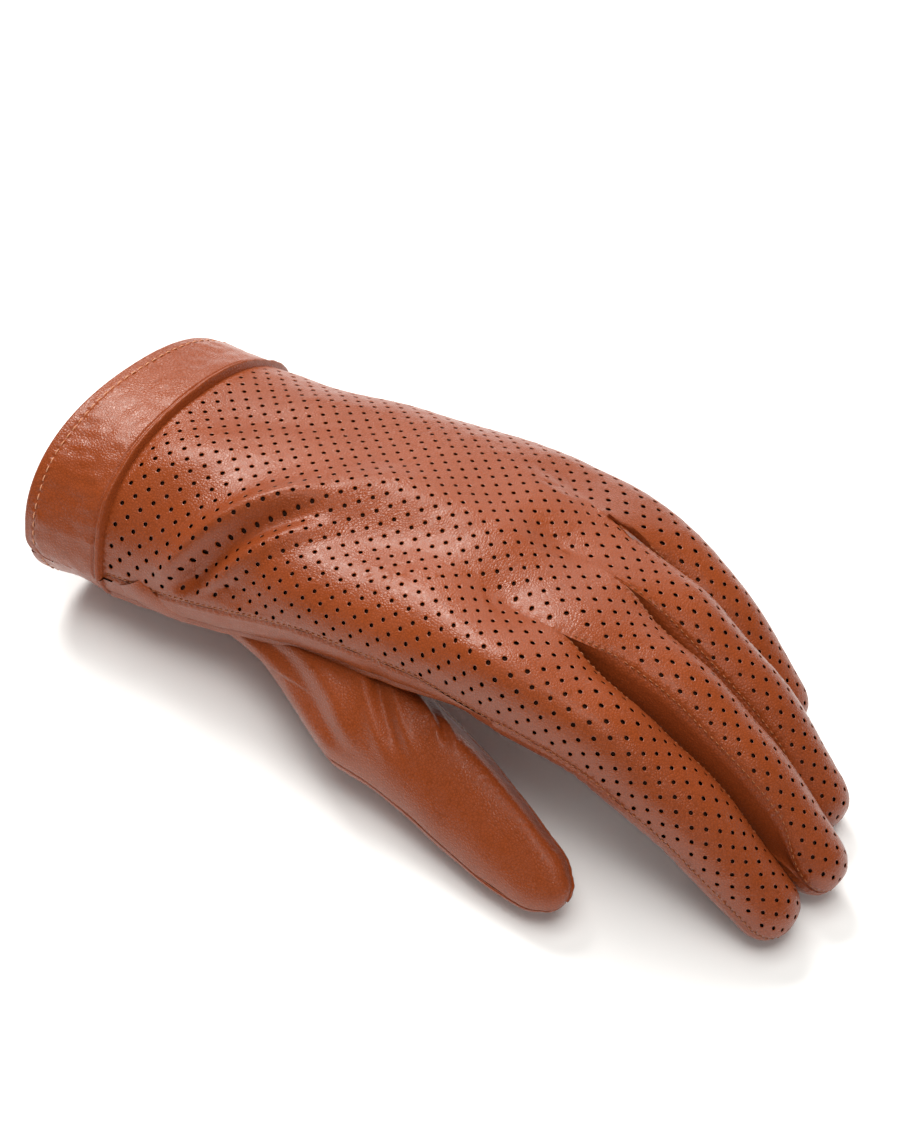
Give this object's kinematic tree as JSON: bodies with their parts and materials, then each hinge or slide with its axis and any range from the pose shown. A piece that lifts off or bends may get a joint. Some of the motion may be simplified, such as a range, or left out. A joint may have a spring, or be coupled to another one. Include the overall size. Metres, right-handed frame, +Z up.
{
  "type": "leather dress glove",
  "caption": "Left-hand leather dress glove with a perforated back, plain palm, finger gussets and a banded cuff, lying palm down with the fingers lightly curled.",
  "frame": {"origin": "under the middle of the glove's bounding box, on the surface it rests on", "axes": "+X from the wrist to the fingertips, +Z up out of the back of the hand, thumb on the -Y side"},
  "size_m": [0.2042, 0.114, 0.0515],
  "materials": {
    "tan_leather": "semi-gloss smooth glove leather",
    "perforated_leather": "semi-gloss, punched with small round holes",
    "gusset_leather": "semi-gloss smooth glove leather",
    "facing_leather": "matt turned-in leather facing",
    "thread": "twisted sewing thread"
  },
  "bodies": {
    "hand": {"back_panel": "perforated_leather", "palm_panel": "tan_leather", "side_strip": "tan_leather", "vent_flap": "gusset_leather", "cuff_band": "tan_leather", "cuff_facing": "facing_leather", "cuff_piping": "tan_leather", "hem_thread": "thread"},
    "index_root": {"index_back_root": "perforated_leather", "index_palm_root": "tan_leather", "index_inner_gusset_root": "gusset_leather"},
    "index_mid": {"index_back_mid": "perforated_leather", "index_palm_mid": "tan_leather", "index_inner_gusset_mid": "gusset_leather"},
    "index_tip": {"index_back_tip": "perforated_leather", "index_palm_tip": "tan_leather"},
    "middle_root": {"middle_back_root": "perforated_leather", "middle_palm_root": "tan_leather", "middle_outer_gusset_root": "gusset_leather", "middle_inner_gusset_root": "gusset_leather"},
    "middle_mid": {"middle_back_mid": "perforated_leather", "middle_palm_mid": "tan_leather", "middle_outer_gusset_mid": "gusset_leather", "middle_inner_gusset_mid": "gusset_leather"},
    "middle_tip": {"middle_back_tip": "perforated_leather", "middle_palm_tip": "tan_leather"},
    "ring_root": {"ring_back_root": "perforated_leather", "ring_palm_root": "tan_leather", "ring_outer_gusset_root": "gusset_leather", "ring_inner_gusset_root": "gusset_leather"},
    "ring_mid": {"ring_back_mid": "perforated_leather", "ring_palm_mid": "tan_leather", "ring_outer_gusset_mid": "gusset_leather", "ring_inner_gusset_mid": "gusset_leather"},
    "ring_tip": {"ring_back_tip": "perforated_leather", "ring_palm_tip": "tan_leather"},
    "little_root": {"little_back_root": "perforated_leather", "little_palm_root": "tan_leather", "little_outer_gusset_root": "gusset_leather"},
    "little_mid": {"little_back_mid": "perforated_leather", "little_palm_mid": "tan_leather", "little_outer_gusset_mid": "gusset_leather"},
    "little_tip": {"little_back_tip": "perforated_leather", "little_palm_tip": "tan_leather"},
    "thumb_root": {"thumb_top_root": "tan_leather", "thumb_under_root": "tan_leather"},
    "thumb_tip": {"thumb_top_tip": "tan_leather", "thumb_under_tip": "tan_leather"}
  },
  "joints": [
    {"name": "index_root_bend", "type": "hinge", "parent": "hand", "child": "index_root", "pos_m": [0.02185, -0.02099, 0.04105], "axis": [0.1107, 0.9823, -0.151], "range_deg": [-14, 25]},
    {"name": "index_mid_bend", "type": "hinge", "parent": "index_root", "child": "index_mid", "pos_m": [0.04435, -0.02409, 0.03739], "axis": [0.1107, 0.9823, -0.151], "range_deg": [-16, 34]},
    {"name": "index_tip_bend", "type": "hinge", "parent": "index_mid", "child": "index_tip", "pos_m": [0.06799, -0.02864, 0.02517], "axis": [0.1107, 0.9823, -0.151], "range_deg": [-10, 20]},
    {"name": "middle_root_bend", "type": "hinge", "parent": "hand", "child": "middle_root", "pos_m": [0.02939, -0.00028, 0.03973], "axis": [0.169, 0.9624, -0.2128], "range_deg": [-14, 25]},
    {"name": "middle_mid_bend", "type": "hinge", "parent": "middle_root", "child": "middle_mid", "pos_m": [0.05263, -0.00515, 0.03619], "axis": [0.169, 0.9624, -0.2128], "range_deg": [-16, 34]},
    {"name": "middle_tip_bend", "type": "hinge", "parent": "middle_mid", "child": "middle_tip", "pos_m": [0.0768, -0.01211, 0.0239], "axis": [0.169, 0.9624, -0.2128], "range_deg": [-10, 20]},
    {"name": "ring_root_bend", "type": "hinge", "parent": "hand", "child": "ring_root", "pos_m": [0.02949, 0.02093, 0.03503], "axis": [0.2215, 0.9493, -0.223], "range_deg": [-14, 25]},
    {"name": "ring_mid_bend", "type": "hinge", "parent": "ring_root", "child": "ring_mid", "pos_m": [0.04958, 0.01556, 0.03211], "axis": [0.2215, 0.9493, -0.223], "range_deg": [-16, 34]},
    {"name": "ring_tip_bend", "type": "hinge", "parent": "ring_mid", "child": "ring_tip", "pos_m": [0.07172, 0.00777, 0.02091], "axis": [0.2215, 0.9493, -0.223], "range_deg": [-10, 20]},
    {"name": "little_root_bend", "type": "hinge", "parent": "hand", "child": "little_root", "pos_m": [0.02444, 0.04196, 0.02912], "axis": [0.2628, 0.942, -0.2086], "range_deg": [-14, 25]},
    {"name": "little_mid_bend", "type": "hinge", "parent": "little_root", "child": "little_mid", "pos_m": [0.03958, 0.03726, 0.02698], "axis": [0.2628, 0.942, -0.2086], "range_deg": [-16, 34]},
    {"name": "little_tip_bend", "type": "hinge", "parent": "little_mid", "child": "little_tip", "pos_m": [0.05727, 0.03035, 0.01802], "axis": [0.2628, 0.942, -0.2086], "range_deg": [-10, 20]},
    {"name": "thumb_root_swing", "type": "hinge", "parent": "hand", "child": "thumb_root", "pos_m": [-0.03942, -0.02698, 0.02008], "axis": [0, 0, -1], "range_deg": [0, 20]},
    {"name": "thumb_tip_bend", "type": "hinge", "parent": "thumb_root", "child": "thumb_tip", "pos_m": [0.00689, -0.03857, 0.0151], "axis": [0.1237, 0.7659, -0.6309], "range_deg": [-15, 35]}
  ],
  "couplings": [
    {"joint": "index_tip_bend", "follows": "index_mid_bend", "ratio": 0.58},
    {"joint": "middle_tip_bend", "follows": "middle_mid_bend", "ratio": 0.58},
    {"joint": "ring_tip_bend", "follows": "ring_mid_bend", "ratio": 0.58},
    {"joint": "little_tip_bend", "follows": "little_mid_bend", "ratio": 0.58}
  ]
}
